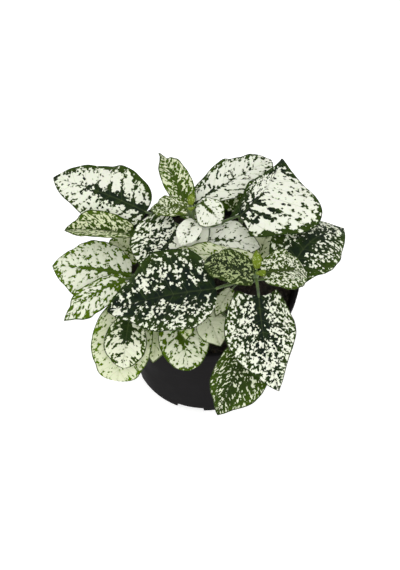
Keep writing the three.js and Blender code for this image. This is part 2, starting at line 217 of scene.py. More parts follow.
# Map for baking: the upper side, the lower side beside it, and a narrow strip for each margin
MAP_EDGE = 0.01
MAP_HALF = 0.5
MAP_WIDTH = 0.46
MAP_HEIGHT = 0.98
STRIP_PLACE = 0.478
STRIP_WIDTH = 0.008

# Place of each stem in the soil, then its shoot tip
STEMS = {
    "back": dict(foot=(-3, 8), top=(-8, 10, 136)),
    "right": dict(foot=(12, -7), top=(26, -31, 138)),
    "left": dict(foot=(-15, -5), top=(-29, -11, 106)),
    "front": dict(foot=(2, -20), top=(6, -30, 108)),
    "far": dict(foot=(14, 17), top=(20, 24, 104)),
}

# Shape of a leaf wherever its own line below says nothing else
USUAL = dict(
    roll=0, arch=0.12, sweep=0, fold=12, wave=0.03, phase=0, curl=0.15,
    belly=0.39, blunt=0.62, tail=1, lobe=0.07, lead=0.13, right=1, left=1, bow=1.5,
)
TIP_TAPER = 0.75
TIP_ROUNDING = 0.26
TIP_ZONE = (0.75, 0.95)
LOBE_REACH = 0.12
LOBE_RISE = 25
LEAD_POWER = 1.5
WAVES = 2.3
LEFT_WAVE_SHIFT = 2


def grow(name, stem, node, petiole, way, size, **shape):
    """All values of one leaf: those of its own line, and the usual ones for the rest."""
    leaf = dict(USUAL, foldLeft=shape.get("fold", USUAL["fold"]), leaf=name, stem=stem, node=node)
    leaf.update(zip(("away", "reach", "rise", "heading", "slope", "length", "width"), petiole + way + size))
    return dict(leaf, **shape)


# One line a leaf: its name and stem, its height on the stem, then its petiole's angle, run and climb, its
# blade's heading and slope, and its length and width. Angles are in degrees
LEAVES = [
    grow("shootLeft", "back", 133, (180, 1, 1), (167, -18), (22, 14)),
    grow("shootCup", "back", 133, (40, 7, 1), (-42, -18), (16, 18), fold=5, foldLeft=50, right=1.15,
         left=0.9, belly=0.42, tail=1.2),
    grow("rearUpright", "back", 122, (110, 8, 6), (112, -8), (42, 17), tail=2, belly=0.27, left=0.9),
    grow("centreLeft", "back", 122, (217, 8, 2), (237, -20), (33, 41), lobe=0.42, belly=0.3, foldLeft=0),
    grow("rearRight", "back", 116, (92, 11, 7), (40, -9), (58, 31), arch=0.04, fold=10, foldLeft=5,
         right=0.75, left=0.9, tail=0.2, belly=0.45),
    grow("rearLeft", "back", 112, (157, 28, 5), (152, -7), (60, 40), arch=0.05, foldLeft=-18, left=0.8,
         belly=0.38, blunt=0.5, tail=0.4, lobe=0, lead=0, phase=0.4),
    grow("rightWhite", "back", 110, (2, 24, 18), (57, 3), (43, 44), right=1.6, left=0.45, belly=0.44,
         blunt=0.6, sweep=0.08, arch=0.06, fold=8, foldLeft=0, lead=0, lobe=0.15, tail=2),
    grow("centrePale", "back", 110, (-62, 8, 6), (-6, -3), (32, 25), belly=0.33, lobe=0.15, blunt=0.5),
    grow("centreRound", "back", 126, (300, 5, 3), (240, -6), (16, 14), fold=25, right=0.9, left=1.1,
         blunt=0.5),
    grow("tipBack", "back", 134, (70, 1, 3), (80, 50), (7, 4)),
    grow("tipBackNear", "back", 134, (280, 1, 3), (280, 40), (6, 4)),
    grow("shootRight", "right", 135, (0, 3, 1), (15, -20), (25, 25), tail=0.2),
    grow("shootNear", "right", 135, (250, 3, 1), (155, -5), (28, 20), tail=0.2),
    grow("tipRight", "right", 136, (90, 1, 4), (95, 50), (10, 5)),
    grow("tipRightNear", "right", 136, (300, 1, 4), (300, 30), (7, 5)),
    grow("frontRight", "right", 132, (278, 10, -2), (283, -26), (49, 40), left=0.85, sweep=0.05,
         arch=0.08, belly=0.36, blunt=0.55, tail=0.9, lobe=0.12, lead=0),
    grow("centreDark", "right", 126, (203, 21, 5), (187, -11), (57, 50), arch=0.06, foldLeft=18,
         right=1.1, belly=0.36, blunt=0.6, tail=0.6, lobe=0, lead=0),
    grow("rightDark", "right", 126, (5, 17, -4), (50, -11), (53, 40), right=0.92, sweep=-0.09, fold=-5,
         belly=0.5, blunt=0.5, tail=0.5, lead=0),
    grow("centreGreen", "right", 118, (50, 11, 5), (172, 3), (46, 14), tail=0.5, arch=0.02),
    grow("centreSliver", "right", 110, (236, 11, 8), (240, -13), (17, 9)),
    grow("innerGrey", "right", 98, (37, 15, 5), (70, -6), (29, 14)),
    grow("cornerUpper", "left", 100, (248, 33, 8), (262, -27), (26, 23), tail=0.2),
    grow("leftPale", "left", 98, (182, 14, 3), (172, 0), (43, 36), arch=0.05, foldLeft=-8, wave=0.01,
         belly=0.4, blunt=0.55, tail=0.5, lobe=0.02, lead=0.05),
    grow("leftFolded", "left", 96, (129, 23, 17), (172, -7), (38, 22), roll=18, foldLeft=55),
    grow("cornerLow", "left", 94, (227, 25, 6), (261, -21), (42, 33), tail=-0.3),
    grow("leftLow", "left", 92, (200, 23, 15), (212, -16), (39, 21), fold=5, right=0.75),
    grow("leftInner", "left", 88, (150, 20, 7), (140, -4), (22, 20)),
    grow("frontBud", "front", 106, (215, 19, 6), (268, -16), (14, 9)),
    grow("frontMiddle", "front", 104, (236, 11, 7), (295, -16), (20, 18)),
    grow("frontDroop", "front", 100, (306, 33, 6), (240, -26), (41, 34), fold=40, foldLeft=5, right=0.8,
         belly=0.33),
    grow("frontPale", "front", 98, (204, 21, 6), (281, -14), (31, 27), tail=0),
    grow("frontLeftSmall", "front", 92, (198, 28, 5), (259, -17), (26, 17)),
    grow("rearLowMid", "far", 96, (80, 7, 4), (78, -8), (30, 20)),
    grow("rearLowRight", "far", 90, (10, 12, 5), (18, -2), (30, 22)),
    grow("rearLowLeft", "far", 87, (140, 12, 6), (140, -6), (28, 19)),
    grow("rearTop", "far", 101, (120, 7, 4), (108, -5), (24, 17)),
]

# Markings of each leaf. white is the pale share, rib a dark zone along the midrib up to rib_end and patch
# wide, branch and spread the strength and reach of its side arms, edge and edge_right a dark band inside
# the margin, end a darker tip, lean a paler right side, tone the green's age from dark to yellow, cream the
# tint of the pale part, dull its grey-green cast, fresh a yellow-green cast from the base, grain the size of
# a speck and margin the strength of the outline
USUAL_LOOK = dict(
    white=0.7, rib=0.3, rib_end=0.8, patch=1.4, branch=0.6, spread=5, edge=0.1, end=0, lean=0,
    tone=0.2, cream=0.2, dull=0, fresh=0, grain=0.9, margin=1,
)
LOOKS = {
    "rearLeft": dict(white=0.79, rib=1, patch=2.2, branch=0.8, spread=9, edge=0.3, edge_right=0.7,
                     tone=0.1, cream=0.1, grain=1.1),
    "leftFolded": dict(white=0.6, rib_end=0.9, edge=0.2, tone=0.4, cream=0.7, grain=0.7),
    "leftPale": dict(white=0.79, rib=0.9, rib_end=1, patch=1, branch=0.7, spread=6, edge=0.4, tone=0.65,
                     grain=1.1),
    "leftLow": dict(white=0.74, rib=0.5, edge=0.3, tone=0.65, grain=1.1, patch=1, branch=0.35),
    "leftInner": dict(white=0.75, rib_end=0.6, edge=0.3, tone=0.7, cream=0.6),
    "cornerLow": dict(white=0.82, rib_end=0.5, edge=0.3, tone=0.8, cream=0.55, grain=1),
    "cornerUpper": dict(white=0.77, rib=1.2, rib_end=0.6, patch=2.4, branch=0.8, edge=0.3, cream=0.35,
                        grain=1),
    "frontLeftSmall": dict(white=0.86, rib=0.1, tone=0.7, cream=0.6),
    "frontPale": dict(white=0.78, rib=1.1, patch=2.4, branch=0.9, spread=7, edge=0.3, tone=0.6,
                      cream=0.35, grain=1.1),
    "frontBud": dict(white=0.8, rib=0.2, edge=0.2, tone=0.9, cream=0.7, grain=0.8),
    "frontMiddle": dict(white=0.92, rib=0.15, tone=0.85, cream=0.45, grain=0.8, margin=0.7),
    "centreSliver": dict(white=0.85, rib=0.1, tone=0.7, cream=0.5, grain=0.8),
    "centreDark": dict(white=0.42, rib=0.6, rib_end=0.9, patch=2.4, branch=0.3, edge=-0.05,
                       edge_right=0.2, tone=0, cream=0.1, grain=1.1),
    "centreLeft": dict(rib=0.8, rib_end=1, patch=1, lean=-0.2, tone=0.05, cream=0.1, grain=0.8,
                       white=0.75),
    "centreGreen": dict(white=0.8, rib_end=0.9, edge=0.15, tone=0.8, cream=0.5, grain=0.8, fresh=0.15),
    "centrePale": dict(white=0.9, rib=0.5, edge=0.2, cream=0.05),
    "centreRound": dict(white=0.86, rib=0.2, edge=0, cream=0.05, grain=0.8, margin=0.3),
    "innerGrey": dict(white=0.85, rib=0.2, rib_end=0.9, tone=0.5, cream=0.6),
    "frontRight": dict(white=0.51, rib=0.7, rib_end=0.6, patch=1.8, edge=0, tone=0.05, cream=0.1,
                       grain=0.8),
    "frontDroop": dict(white=0.38, rib=0.2, edge=0, tone=0.25, cream=0.35, grain=0.75),
    "shootLeft": dict(white=0.55, rib=0.2, tone=0.3, cream=0.4, grain=0.55, fresh=0.15),
    # shootCup's dark zone along the midrib, strong and wide near its base, is partly painted shade: the
    # shadow in the fold between its two halves
    "shootCup": dict(white=0.84, rib=1.1, tone=0.4, cream=0.05, grain=0.7, rib_end=0.7,
                     patch=0.9, branch=0.1, edge=0.15),
    "shootRight": dict(white=0.55, rib=0.4, rib_end=0.9, tone=0.25, cream=0.25, grain=0.6, fresh=0.06),
    "shootNear": dict(white=0.54, rib_end=0.9, edge=0.2, tone=0, cream=0.6, dull=0.75,
                      grain=0.6, fresh=0.05),
    "rearUpright": dict(white=0.56, rib=0.4, edge=0, tone=0.5, cream=0.6, grain=0.8),
    "rearRight": dict(white=0.8, rib=0.5, rib_end=0.9, patch=0.8, edge=0.45, edge_right=0.2, tone=0.1,
                      cream=0.05, grain=1.15),
    "rightWhite": dict(white=0.72, rib=0.9, rib_end=0.5, patch=0.8, branch=0.8, spread=14, edge=0.5,
                       edge_right=0.45, end=0.25, tone=0.05, cream=0.05, grain=1),
    "rightDark": dict(white=0.43, rib=0.8, patch=2.2, tone=0.1, cream=0.1, grain=1.05),
    "rearLowMid": dict(white=0.6, rib=0.5, edge=0.2, tone=0.5, cream=0.3),
    "rearLowRight": dict(white=0.65, rib=0.5, edge=0.2, tone=0.5, cream=0.3),
    "rearLowLeft": dict(white=0.55, rib=0.6, edge=0.2, tone=0.4, cream=0.3, grain=1),
    "rearTop": dict(white=0.6, rib=0.5, edge=0.2, tone=0.4, cream=0.4, grain=0.8),
}
TIP_LOOK = dict(white=0.4, rib=0.1, edge=0, tone=1, cream=1, fresh=0.65, grain=0.4)


def smoothstep(low, high, x):
    t = np.clip((x - low) / (high - low), 0, 1)
    return t * t * (3 - 2 * t)


def unit(vectors):
    return vectors / np.maximum(np.linalg.norm(vectors, axis=-1, keepdims=True), 1e-9)


def off_way(ways):
    """A direction square to each way."""
    start = np.where(np.abs(ways[..., :1]) < NEARLY_ALONG_X, [1.0, 0, 0], [0, 1.0, 0])
    return unit(np.cross(ways, start))


def ring(radius, height, count):
    """Points spread evenly round the axis."""
    turns = [2 * math.pi * k / count for k in range(count)]
    return [(radius * math.cos(turn), radius * math.sin(turn), height) for turn in turns]


def stem_point(name, height):
    foot, top = STEMS[name]["foot"], STEMS[name]["top"]
    share = smoothstep(STEM_BEND_START, top[2], height)
    x = foot[0] + (top[0] - foot[0]) * share
    y = foot[1] + (top[1] - foot[1]) * share
    return np.array([x, y, height], float)


def size_share(leaf):
    return min(1.0, leaf["length"] / FULL_LENGTH)


def outline(leaf, s):
    """Half width as a share of the greatest, from the base at 0 to the tip at 1."""
    bend = math.log(0.5) / math.log(leaf["belly"])
    body = np.clip(np.sin(np.pi * s**bend), 0, 1)
    round_end = TIP_ROUNDING * np.sqrt(1 - s) * smoothstep(*TIP_ZONE, s)
    return body ** (leaf["blunt"] + TIP_TAPER * s * leaf["tail"]) + round_end


class Blade:
    """Middle surface of one leaf blade, by the same growth rules as the solid that it replaces."""

    def __init__(self, leaf):
        self.leaf = leaf
        away, heading, slope = (math.radians(leaf[k]) for k in ("away", "heading", "slope"))
        run = np.array([leaf["reach"] * math.cos(away), leaf["reach"] * math.sin(away), leaf["rise"]])
        level = math.cos(slope)
        way = np.array([math.cos(heading) * level, math.sin(heading) * level, math.sin(slope)])
        self.root = stem_point(leaf["stem"], leaf["node"])
        self.base = self.root + run
        self.tip = self.base + leaf["length"] * way
        flat = unit(np.cross(way, [0, 0, 1]))
        above = np.cross(flat, way)
        roll = math.radians(leaf["roll"])
        self.side = flat * math.cos(roll) + above * math.sin(roll)
        up = np.cross(self.side, way)
        lift = 2 * leaf["length"] * leaf["arch"]
        turn = 2 * leaf["length"] * leaf["sweep"]
        self.control = (self.base + self.tip) / 2 + lift * up + turn * self.side

    def midrib(self, s):
        """Point of the midrib, the ways along it and to its right, and up from the blade."""
        s = np.asarray(s, float)[..., None]
        point = (1 - s) ** 2 * self.base + 2 * s * (1 - s) * self.control + s**2 * self.tip
        along = unit((1 - s) * (self.control - self.base) + s * (self.tip - self.control))
        across = unit(self.side - along * (along @ self.side)[..., None])
        return point, along, across, np.cross(across, along)

    def half_width(self, s, u):
        uneven = np.where(u > 0, self.leaf["right"], self.leaf["left"])
        return self.leaf["width"] / 2 * uneven * outline(self.leaf, s)

    def surface(self, s, u):
        """Points of the blade: s runs from base to tip, u from the left margin to the right."""
        leaf = self.leaf
        point, along, across, normal = self.midrib(s)
        a = np.abs(u)
        right = u > 0
        half = self.half_width(s, u)
        fold = np.radians(np.where(right, leaf["fold"], leaf["foldLeft"]))
        turn = 2 * np.pi * (WAVES * s + leaf["phase"]) + np.where(right, 0, LEFT_WAVE_SHIFT)
        body = np.sin(np.pi * s)
        wave = leaf["wave"] * leaf["length"] * np.sin(turn) * a * a * body
        lobe = leaf["lobe"] * np.exp(-((s / LOBE_REACH) ** 2)) * np.minimum(1, LOBE_RISE * s)
        forward = leaf["length"] * a**LEAD_POWER * (leaf["lead"] * body - lobe)
        lift = half * (a * np.sin(fold) - leaf["curl"] * a * a) + wave
        place = point + along * forward[..., None] + across * (half * u * np.cos(fold))[..., None]
        return place + normal * (lift + self.relief(s, u, half))[..., None]

    def vein_phase(self, s, a):
        return (s - VEIN_LEAD * a * (1 - VEIN_BEND * a)) * VEIN_PAIRS * VEIN_CROWDING

    def relief(self, s, u, half):
        """A groove along the midrib, low side veins with the blade puffed up between them, a fine frill."""
        a = np.abs(u)
        inside = np.sin(np.pi * s) ** RELIEF_ENDS
        groove = -GROOVE * np.exp(-((a * half / GROOVE_WIDTH) ** 2))
        cell = np.abs(np.sin(np.pi * self.vein_phase(s, a)))
        puff = QUILT * (cell**QUILT_ROUNDNESS - QUILT_MIDDLE)
        quilt = puff * np.minimum(1, a * QUILT_RISE) * (1 - a**QUILT_FADE)
        shift = np.where(u > 0, 0.0, LEFT_FRILL_SHIFT)
        frill = FRILL * a**FRILL_RISE * np.sin(2 * np.pi * (FRILLS * s + self.leaf["phase"]) + shift)
        return size_share(self.leaf) * inside * (groove + quilt + frill)


def new_object(name, vertices, faces, material, smooth=True):
    mesh = bpy.data.meshes.new(name)
    mesh.from_pydata([tuple(v) for v in np.asarray(vertices) * MM], [], faces)
    mesh.validate()
    if smooth:
        mesh.polygons.foreach_set("use_smooth", [True] * len(mesh.polygons))
    mesh.materials.append(material)
    piece = bpy.data.objects.new(name, mesh)
    bpy.context.scene.collection.objects.link(piece)
    return piece


def add_float(mesh, name, values):
    layer = mesh.attributes.new(name, "FLOAT", "POINT")
    layer.data.foreach_set("value", np.asarray(values, np.float32))


def add_uv(mesh, name, corners):
    layer = mesh.uv_layers.new(name=name)
    layer.data.foreach_set("uv", np.asarray(corners, np.float32).ravel())


def blade_grid(leaf):
    """Places s and u of a blade's points, without its base and tip."""
    tiny = leaf["length"] < TINY_LEAF
    rows, half = (TINY_ROWS, TINY_HALF_COLUMNS) if tiny else (BLADE_ROWS, HALF_COLUMNS)
    t = np.arange(-half, half + 1) / half
    u_line = np.sign(t) * smoothstep(0, 1, np.abs(t))
    s_line = (1 - np.cos(np.pi * np.arange(1, rows) / rows)) / 2
    return np.meshgrid(s_line, u_line, indexing="ij")


def blade_points(form, s, u):
    """Upper and then lower points of a blade. Each side's last two are its base and its tip."""
    place = form.surface(s, u)
    d = SLOPE_STEP
    ds = form.surface(np.minimum(s + d, 1), u) - form.surface(np.maximum(s - d, 0), u)
    du = form.surface(s, np.minimum(u + d, 1)) - form.surface(s, np.maximum(u - d, -1))
    a = np.abs(u)
    outer = a**THINNING
    thick = BLADE_THICKNESS * (1 - outer) + MARGIN_THICKNESS * outer
    offset = unit(np.cross(du, ds)) * (thick / 2)[..., None]
    base, tip = form.surface(np.array([0.0, 1.0]), np.array([0.0, 0.0]))
    base_up = form.midrib(0.0)[3] * BLADE_THICKNESS / 2
    tip_up = form.midrib(1.0)[3] * MARGIN_THICKNESS / 2
    top = [(place + offset).reshape(-1, 3), base + base_up, tip + tip_up]
    low = [(place - offset).reshape(-1, 3), base - base_up, tip - tip_up]
    return np.vstack(top + low)


def blade_faces(rows, columns):
    """Faces of a closed blade, and the kind of each: 0 above, 1 below, 2 on a margin."""
    count = rows * columns
    each = count + 2
    faces, kinds = [], []
    for side in (0, 1):
        first = side * each
        half = []
        for i in range(rows - 1):
            for j in range(columns - 1):
                k = first + i * columns + j
                half.append((k, k + 1, k + columns + 1, k + columns))
        for j in range(columns - 1):
            k = first + (rows - 1) * columns + j
            half.append((first + count, first + j + 1, first + j))
            half.append((first + count + 1, k, k + 1))
        faces += half if side == 0 else [face[::-1] for face in half]
        kinds += [side] * len(half)
    for j in (0, columns - 1):
        loop = [count, *(i * columns + j for i in range(rows)), count + 1]
        for p, q in zip(loop, loop[1:]):
            strip = (p, q, q + each, p + each)
            faces.append(strip if j == 0 else strip[::-1])
            kinds.append(2)
    return faces, kinds


def blade_piece(leaf, number, material):
    """A thin closed blade with its markings stored as values at its points."""
    look = dict(USUAL_LOOK, **LOOKS.get(leaf["leaf"], TIP_LOOK))
    form = Blade(leaf)
    s, u = blade_grid(leaf)
    faces, kinds = blade_faces(*s.shape)
    piece = new_object("leaf_" + leaf["leaf"], blade_points(form, s, u), faces, material)
    s = np.concatenate([s.ravel(), [0.0, 1.0]])
    u = np.concatenate([u.ravel(), [0.0, 0.0]])
    store_markings(piece.data, look, form, s, u)
    store_maps(piece.data, look, form, number, s, u, kinds)
    return piece


def store_markings(mesh, look, form, s, u):
    a = np.abs(u)
    half = form.half_width(s, u)
    across = a * half
    to_margin = half * (1 - a)
    fade = 1 - smoothstep(RIB_FADE_START * look["rib_end"], look["rib_end"], s)
    phase = form.vein_phase(s, a)
    near_vein = np.exp(-((np.abs(phase - np.round(phase)) / VEIN_WIDTH) ** 2))
    patch = np.exp(-((across / look["patch"]) ** 2))
    branches = look["branch"] * near_vein * np.exp(-across / look["spread"])
    dark = 1 - look["white"] + look["rib"] * fade * (RIB_WEIGHT * patch + branches)
    edge = np.where(u > 0, look.get("edge_right", look["edge"]), look["edge"])
    dark += EDGE_WEIGHT * edge * np.exp(-((to_margin / MARGIN_BAND) ** 2))
    dark += look["end"] * smoothstep(*END_ZONE, s)
    dark -= look["lean"] * np.sign(u) * smoothstep(*LEAN_ZONE, a)
    values = {
        "dark": dark,
        "margin": look["margin"] * np.exp(-((to_margin / MARGIN_LINE) ** 2)),
        "rib": np.exp(-((across / MIDRIB_LINE) ** 2)) * (1 - MIDRIB_FADE * s),
        "tone": np.clip(look["tone"] + TONE_TO_MARGIN * (a**2 - TONE_MIDDLE), 0, 1),
        "cream": np.full(len(s), look["cream"]),
        "dull": np.full(len(s), look["dull"]),
        "fresh": look["fresh"] * (1 - FRESH_FADE * s),
    }
    for name, upper in values.items():
        add_float(mesh, name, np.tile(upper, 2))
    add_float(mesh, "under", np.repeat([0.0, 1.0], len(s)))


def store_maps(mesh, look, form, number, s, u, kinds):
    """Maps for baking, for the specks and for the veins. The two halves of a blade get their own specks."""
    corner = np.empty(len(mesh.loops), np.int32)
    mesh.loops.foreach_get("vertex_index", corner)
    starts = np.array([p.loop_start for p in mesh.polygons])
    sizes = np.array([p.loop_total for p in mesh.polygons])
    kind = np.repeat(kinds, sizes)
    point = corner % len(s)
    s, u, below = s[point], u[point], corner >= len(s)
    middle = np.repeat(np.add.reduceat(u, starts) / sizes, sizes)
    x = np.abs(u) * form.leaf["width"] / 2 * outline(form.leaf, s)
    y = s * form.leaf["length"]
    slant = math.radians(VEIN_SLANT)
    along_vein = x * math.sin(slant) + y * math.cos(slant)
    over_vein = y * math.sin(slant) - x * math.cos(slant)
    shift = LEAF_SHIFT * number + SIDE_SHIFT * (middle > 0)
    specks = np.stack([SPECK_STRETCH * along_vein, over_vein], -1) / look["grain"] + shift[:, None]
    veins = np.stack([np.abs(u), form.vein_phase(s, np.abs(u))], -1)
    column = MAP_EDGE + MAP_HALF * (kind > 0) + MAP_WIDTH * (u + 1) / 2
    strip = STRIP_PLACE + MAP_HALF * (u >= 0) + STRIP_WIDTH * below
    baked = np.stack([np.where(kind == 2, strip, column), MAP_EDGE + MAP_HEIGHT * s], -1)
    add_uv(mesh, "OFBake", baked)
    add_uv(mesh, "specks", specks)
    add_uv(mesh, "veins", veins)


def tube(points, radii, sides):
    """Vertices and faces of a closed round tube through the points."""
    points = np.asarray(points, float)
    ways = unit(np.gradient(points, axis=0))
    normal = off_way(ways[0])
    vertices, faces = [], []
    for point, way, radius in zip(points, ways, radii):
        normal = unit(normal - way * (normal @ way))
        other = np.cross(way, normal)
        vertices += [point + x * normal + y * other for x, y, _ in ring(radius, 0, sides)]
    for i in range(len(points) - 1):
        for k in range(sides):
            p, q = i * sides + k, i * sides + (k + 1) % sides
            faces.append((p, q, q + sides, p + sides))
    faces.append(tuple(range(sides))[::-1])
    faces.append(tuple(range((len(points) - 1) * sides, len(points) * sides)))
    return vertices, faces


def joined(parts):
    """One list of vertices and one of faces from several pairs of them."""
    vertices, faces = [], []
    for more, loops in parts:
        faces += [tuple(k + len(vertices) for k in loop) for loop in loops]
        vertices += list(more)
    return vertices, faces


def spikes(roots, ways, lengths):
    """Slim three-sided spikes, each rooted just inside the surface that it stands on."""
    ways = unit(ways)
    first = off_way(ways)
    second = np.cross(ways, first)
    corners = [roots + x * first + y * second for x, y, _ in ring(HAIR_RADIUS, 0, 3)]
    corners.append(roots + ways * lengths[:, None])
    vertices = np.stack(corners, 1).reshape(-1, 3)
    faces = []
    for i in range(len(roots)):
        a, b, c, tip = 4 * i, 4 * i + 1, 4 * i + 2, 4 * i + 3
        faces += [(a, b, tip), (b, c, tip), (c, a, tip), (a, c, b)]
    return vertices, faces


def tube_hairs(points, radii, draw):
    """Soft hairs that stand all round a stem or petiole and lean a little forward."""
    points, radii = np.asarray(points, float), np.asarray(radii, float)
    steps = np.linalg.norm(np.diff(points, axis=0), axis=1)
    travelled = np.concatenate([[0], np.cumsum(steps)])
    count = int(travelled[-1] * STEM_HAIRS_PER_MM)
    place = np.sort(draw.uniform(0, travelled[-1], count))
    centre = np.stack([np.interp(place, travelled, points[:, k]) for k in range(3)], -1)
    radius = np.interp(place, travelled, radii)
    tangents = unit(np.gradient(points, axis=0))
    along = unit(np.stack([np.interp(place, travelled, tangents[:, k]) for k in range(3)], -1))
    out = draw.normal(size=(count, 3))
    out = unit(out - along * np.sum(out * along, -1, keepdims=True))
    roots = centre + out * (HAIR_ROOT * radius)[:, None]
    lengths = HAIR_LENGTH * draw.uniform(*HAIR_LENGTHS, count) + (1 - HAIR_ROOT) * radius
    return spikes(roots, out + HAIR_LEAN * along, lengths)


def petiole(leaf):
    """Petiole from the stem to the blade, running on as the midrib's ridge on the underside."""
    form = Blade(leaf)
    run = np.linspace(0, 1, PETIOLE_STEPS)[:-1, None]
    start = form.midrib(PETIOLE_MEETS_BLADE)
    meet = start[0] - PETIOLE_DROP * start[3]
    middle = (form.root + meet) / 2 + [0, 0, leaf["bow"]]
    bend = 2 * middle - (form.root + meet) / 2
    free = (1 - run) ** 2 * form.root + 2 * run * (1 - run) * bend + run**2 * meet
    s = np.linspace(PETIOLE_MEETS_BLADE, MIDRIB_END, RIDGE_STEPS)
    radius = PETIOLE_RADIUS * size_share(leaf)
    ridge_radius = radius * (1 - RIDGE_TAPER * (s / MIDRIB_END) ** RIDGE_TAPER_POWER)
    place = form.surface(s, np.zeros_like(s))
    normal = form.midrib(s)[3]
    ridge = place - normal * (RIDGE_SINK * ridge_radius + RIDGE_GAP)[:, None]
    radii = np.concatenate([np.linspace(*PETIOLE_ENDS, len(free)) * radius, ridge_radius])
    return np.vstack([free, ridge]), radii


def stem_piece(name, material):
    top = STEMS[name]["top"][2]
    heights = np.arange(STEM_BOTTOM, top + STEM_STEP / 3, STEM_STEP)
    leaves = [leaf for leaf in LEAVES if leaf["stem"] == name]
    nodes = {leaf["node"] for leaf in leaves}
    swell = sum(np.exp(-(((heights - node) / NODE_LENGTH) ** 2)) for node in nodes)
    taper = 1 - STEM_TAPER * (heights - STEM_BOTTOM) / (top - STEM_BOTTOM)
    radii = STEM_RADIUS * taper * (1 + NODE_SWELL * np.minimum(swell, NODE_SWELL_LIMIT))
    path = [stem_point(name, h) for h in heights]
    draw = np.random.default_rng(STEM_SEED)
    parts = [tube(path, radii, STEM_SIDES), tube_hairs(path, radii, draw)]
    for leaf in leaves:
        points, radii = petiole(leaf)
        parts += [tube(points, radii, PETIOLE_SIDES), tube_hairs(points, radii, draw)]
    return new_object("stem_" + name, *joined(parts), material)


def turned(profile, segments):
    """A closed round body from a profile of radius and height pairs, the first and last on the axis."""
    vertices, faces = [(0, 0, profile[0][1])], []
    inner = profile[1:-1]
    for radius, height in inner:
        vertices += ring(radius, height, segments)
    last = len(vertices)
    vertices.append((0, 0, profile[-1][1]))
    for k in range(segments):
        n = (k + 1) % segments
        faces.append((0, 1 + n, 1 + k))
        for i in range(len(inner) - 1):
            p, q = 1 + i * segments, 1 + (i + 1) * segments
            faces.append((p + k, p + n, q + n, q + k))
        p = last - segments
        faces.append((p + k, p + n, last))
    return vertices, faces


def arc(centre, radius, start, end, steps):
    angles = np.radians(np.linspace(start, end, steps))
    return [(centre[0] + radius * math.cos(t), centre[1] + radius * math.sin(t)) for t in angles]


def wall_radius(height):
    top = POT_HEIGHT - RIM_BAND - WALL_FULL
    share = (height - FLOOR_THICKNESS) / (top - FLOOR_THICKNESS)
    return BASE_RADIUS + (UNDER_RIM_RADIUS - BASE_RADIUS) * share


def pot_profile():
    """Outside from the foot up to the lip, then the inside down to the floor."""
    band = POT_HEIGHT - RIM_BAND
    sill = band - BAND_SILL
    lip = (RIM_RADIUS - LIP_ROUNDING, POT_HEIGHT - LIP_ROUNDING)
    edge = (RIM_RADIUS - BAND_TAPER - EDGE_ROUNDING, sill + EDGE_ROUNDING)
    hollow = (UNDER_RIM_RADIUS + HOLLOW_ROUNDING, sill - HOLLOW_ROUNDING)
    profile = [(0, 0), (BASE_RADIUS - FOOT_FLAT, 0)]
    profile += arc((BASE_RADIUS - FOOT_ROUNDING, FOOT_ROUNDING), FOOT_ROUNDING, -90, 0, 6)
    profile += [(wall_radius(h), h) for h in (*OUTER_HEIGHTS, band - WALL_END)]
    profile += arc(hollow, HOLLOW_ROUNDING, 180, 90, 4)
    profile += arc(edge, EDGE_ROUNDING, -90, 0, 5)
    profile += arc(lip, LIP_ROUNDING, 0, 90, 6)
    inner_lip = (RIM_RADIUS - LIP_WIDTH + EDGE_ROUNDING, POT_HEIGHT - EDGE_ROUNDING)
    profile += arc(inner_lip, EDGE_ROUNDING, 90, 180, 5)
    for h in (POT_HEIGHT - INNER_LIP, band, band - WALL_END, *INNER_HEIGHTS):
        flare = max(0, h - band) * INNER_FLARE
        profile.append((wall_radius(min(h, band - WALL_FULL)) - WALL + flare, h))
    return profile + [(BASE_RADIUS - WALL - FOOT_ROUNDING, FLOOR_THICKNESS), (0, FLOOR_THICKNESS)]


def pot_piece(material):
    vertices, faces = turned(pot_profile(), POT_SEGMENTS)
    piece = new_object("pot_body", vertices, faces, material)
    cutters = slot_cutters(material)
    cut = piece.modifiers.new("slots", "BOOLEAN")
    cut.operation = "DIFFERENCE"
    cut.solver = "EXACT"
    cut.object = cutters
    apply_modifiers(piece)
    bpy.data.objects.remove(cutters)
    piece.data.set_sharp_from_angle(angle=math.radians(SHARP_ANGLE))
    return piece


def slot_cutters(material):
    """Rounded boxes where the wall meets the floor, which open the drainage slots."""
    vertices, faces = [], []
    half = SLOT_WIDTH / 2
    across, up = half - SLOT_CORNER, SLOT_HEIGHT - SLOT_CORNER
    section = [(-half, -SLOT_BELOW), (half, -SLOT_BELOW)]
    section += arc((across, up), SLOT_CORNER, 0, 90, 5)
    section += arc((-across, up), SLOT_CORNER, 90, 180, 5)
    n = len(section)
    for i in range(SLOT_COUNT):
        turn = math.radians(SLOT_FIRST_ANGLE + 360 * i / SLOT_COUNT)
        first = len(vertices)
        for reach in (BASE_RADIUS - SLOT_DEPTH, BASE_RADIUS + SLOT_OUTSIDE):
            for width, height in section:
                x = reach * math.cos(turn) - width * math.sin(turn)
                y = reach * math.sin(turn) + width * math.cos(turn)
                vertices.append((x, y, height))
        faces.append(tuple(first + k for k in range(n))[::-1])
        faces.append(tuple(first + n + k for k in range(n)))
        for k in range(n):
            m = (k + 1) % n
            faces.append((first + k, first + m, first + n + m, first + n + k))
    return new_object("slot_cutters", vertices, faces, material, smooth=False)


def apply_modifiers(piece):
    graph = bpy.context.evaluated_depsgraph_get()
    made = bpy.data.meshes.new_from_object(piece.evaluated_get(graph))
    old = piece.data
    piece.modifiers.clear()
    piece.data = made
    bpy.data.meshes.remove(old)


